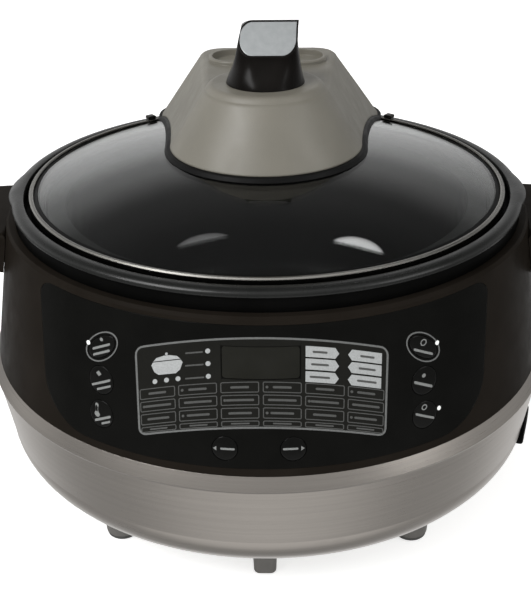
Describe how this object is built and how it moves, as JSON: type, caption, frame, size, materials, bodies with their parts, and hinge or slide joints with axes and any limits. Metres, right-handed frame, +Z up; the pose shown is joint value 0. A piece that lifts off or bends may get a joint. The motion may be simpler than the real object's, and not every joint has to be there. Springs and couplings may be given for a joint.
{
  "type": "electric multicooker",
  "caption": "Round countertop electric cooker with a hinged glass lid, removable pot, curved front control panel and two side handles.",
  "frame": {"origin": "on the pot axis, at the surface that the feet stand on", "axes": "+Z up, -Y towards the control panel, +X towards the right handle as seen from the front"},
  "size_m": [0.4, 0.347, 0.2805],
  "materials": {
    "black_moulding": "fine textured black moulding",
    "brass_pins": "plated contact pin",
    "bright_steel": "polished steel",
    "brown_housing": "dark brown satin moulding",
    "brushed_steel": "circumferentially brushed stainless sheet",
    "capacitor_can": "sleeved can",
    "cast_plate": "cast aluminium",
    "circuit_board": "solder mask",
    "display_glass": "smoked glossy window",
    "element_tube": "oxidised heater sheath",
    "fuse_body": "ceramic filled body",
    "grey_collar": "satin dark grey moulding",
    "grey_foot": "grey textured moulding",
    "key_gloss": "glossy black key cap",
    "knob_gloss": "glossy black moulding",
    "lead_sleeve": "glass fibre sleeve",
    "lid_glass": "clear tempered glass",
    "light_guide": "milky light guide",
    "panel_gloss": "glossy black",
    "pot_coating": "speckled non-stick coating",
    "relay_case": "relay case",
    "rim_steel": "rolled stainless rim",
    "rubber_pad": "soft rubber",
    "sensor_cap": "turned aluminium",
    "shield_sheet": "aluminised steel sheet",
    "silicone_seal": "black silicone",
    "silver_plate": "satin silver plate",
    "spring_steel": "drawn spring wire",
    "switch_black": "black component body",
    "taupe_cover": "taupe satin moulding",
    "vent_black": "black moulding",
    "winding": "taped winding",
    "zinc_steel": "zinc plated steel"
  },
  "bodies": {
    "base": {"base_plate": "grey_foot", "base_screws": "zinc_steel", "capacitors": "capacitor_can", "centre_feet": "grey_foot", "collar_ring": "grey_collar", "control_board": "circuit_board", "control_lead": "lead_sleeve", "control_panel": "panel_gloss", "display_module": "switch_black", "display_window": "display_glass", "foot_pads": "rubber_pad", "handle_screws": "zinc_steel", "heat_shield": "shield_sheet", "heating_element": "element_tube", "heating_plate": "cast_plate", "hinge_bracket": "black_moulding", "hinge_pins": "zinc_steel", "hinge_screws": "zinc_steel", "indicator_lights": "light_guide", "inlet_pins": "brass_pins", "inner_pot": "pot_coating", "key_switches": "switch_black", "left_handle": "brown_housing", "main_feet": "grey_foot", "panel_carrier": "black_moulding", "plate_posts": "zinc_steel", "power_board": "circuit_board", "power_inlet": "black_moulding", "relay": "relay_case", "right_handle": "brown_housing", "sensor_bracket": "zinc_steel", "sensor_spring": "spring_steel", "shield_posts": "zinc_steel", "side_key_boards": "circuit_board", "steel_shell": "brushed_steel", "supply_lead": "lead_sleeve", "thermal_fuse": "fuse_body", "transformer": "winding", "upper_housing": "brown_housing", "well_rim": "black_moulding"},
    "lid": {"lid_glass": "lid_glass", "lid_rim": "rim_steel", "lid_gasket": "silicone_seal", "lid_cover": "taupe_cover", "cover_seal": "silicone_seal", "steam_vent": "vent_black", "knob_body": "knob_gloss", "knob_plate": "silver_plate", "knob_hub": "black_moulding", "knob_screw": "zinc_steel", "rim_clips": "bright_steel"},
    "pot_sensor": {"pot_sensor": "sensor_cap"},
    "key_cancel": {"key_cancel": "key_gloss"},
    "key_time": {"key_time": "key_gloss"},
    "key_temperature": {"key_temperature": "key_gloss"},
    "key_start": {"key_start": "key_gloss"},
    "key_menu": {"key_menu": "key_gloss"},
    "key_hold": {"key_hold": "key_gloss"},
    "key_minus": {"key_minus": "key_gloss"},
    "key_plus": {"key_plus": "key_gloss"}
  },
  "joints": [
    {"name": "lid_hinge", "type": "hinge", "parent": "base", "child": "lid", "pos_m": [0, 0.16, 0.186], "axis": [-1, 0, 0], "range_deg": [0, 88]},
    {"name": "sensor_plunge", "type": "slide", "parent": "base", "child": "pot_sensor", "axis": [0, 0, 1], "range_m": [-0.003, 0], "stiffness_N_per_m": 400, "springref_m": 0.004, "deforming": ["sensor_spring"]},
    {"name": "key_cancel_press", "type": "slide", "parent": "base", "child": "key_cancel", "axis": [0.498, 0.8503, -0.1702], "range_m": [0, 0.0008], "stiffness_N_per_m": 500, "springref_m": -0.001},
    {"name": "key_time_press", "type": "slide", "parent": "base", "child": "key_time", "axis": [0.4963, 0.8513, -0.1702], "range_m": [0, 0.0008], "stiffness_N_per_m": 500, "springref_m": -0.001},
    {"name": "key_temperature_press", "type": "slide", "parent": "base", "child": "key_temperature", "axis": [0.4927, 0.8534, -0.1702], "range_m": [0, 0.0008], "stiffness_N_per_m": 500, "springref_m": -0.001},
    {"name": "key_start_press", "type": "slide", "parent": "base", "child": "key_start", "axis": [-0.498, 0.8503, -0.1702], "range_m": [0, 0.0008], "stiffness_N_per_m": 500, "springref_m": -0.001},
    {"name": "key_menu_press", "type": "slide", "parent": "base", "child": "key_menu", "axis": [-0.4963, 0.8513, -0.1702], "range_m": [0, 0.0008], "stiffness_N_per_m": 500, "springref_m": -0.001},
    {"name": "key_hold_press", "type": "slide", "parent": "base", "child": "key_hold", "axis": [-0.4927, 0.8534, -0.1702], "range_m": [0, 0.0008], "stiffness_N_per_m": 500, "springref_m": -0.001},
    {"name": "key_minus_press", "type": "slide", "parent": "base", "child": "key_minus", "axis": [0.108, 0.9795, -0.1702], "range_m": [0, 0.0008], "stiffness_N_per_m": 500, "springref_m": -0.001},
    {"name": "key_plus_press", "type": "slide", "parent": "base", "child": "key_plus", "axis": [-0.0933, 0.981, -0.1702], "range_m": [0, 0.0008], "stiffness_N_per_m": 500, "springref_m": -0.001}
  ]
}
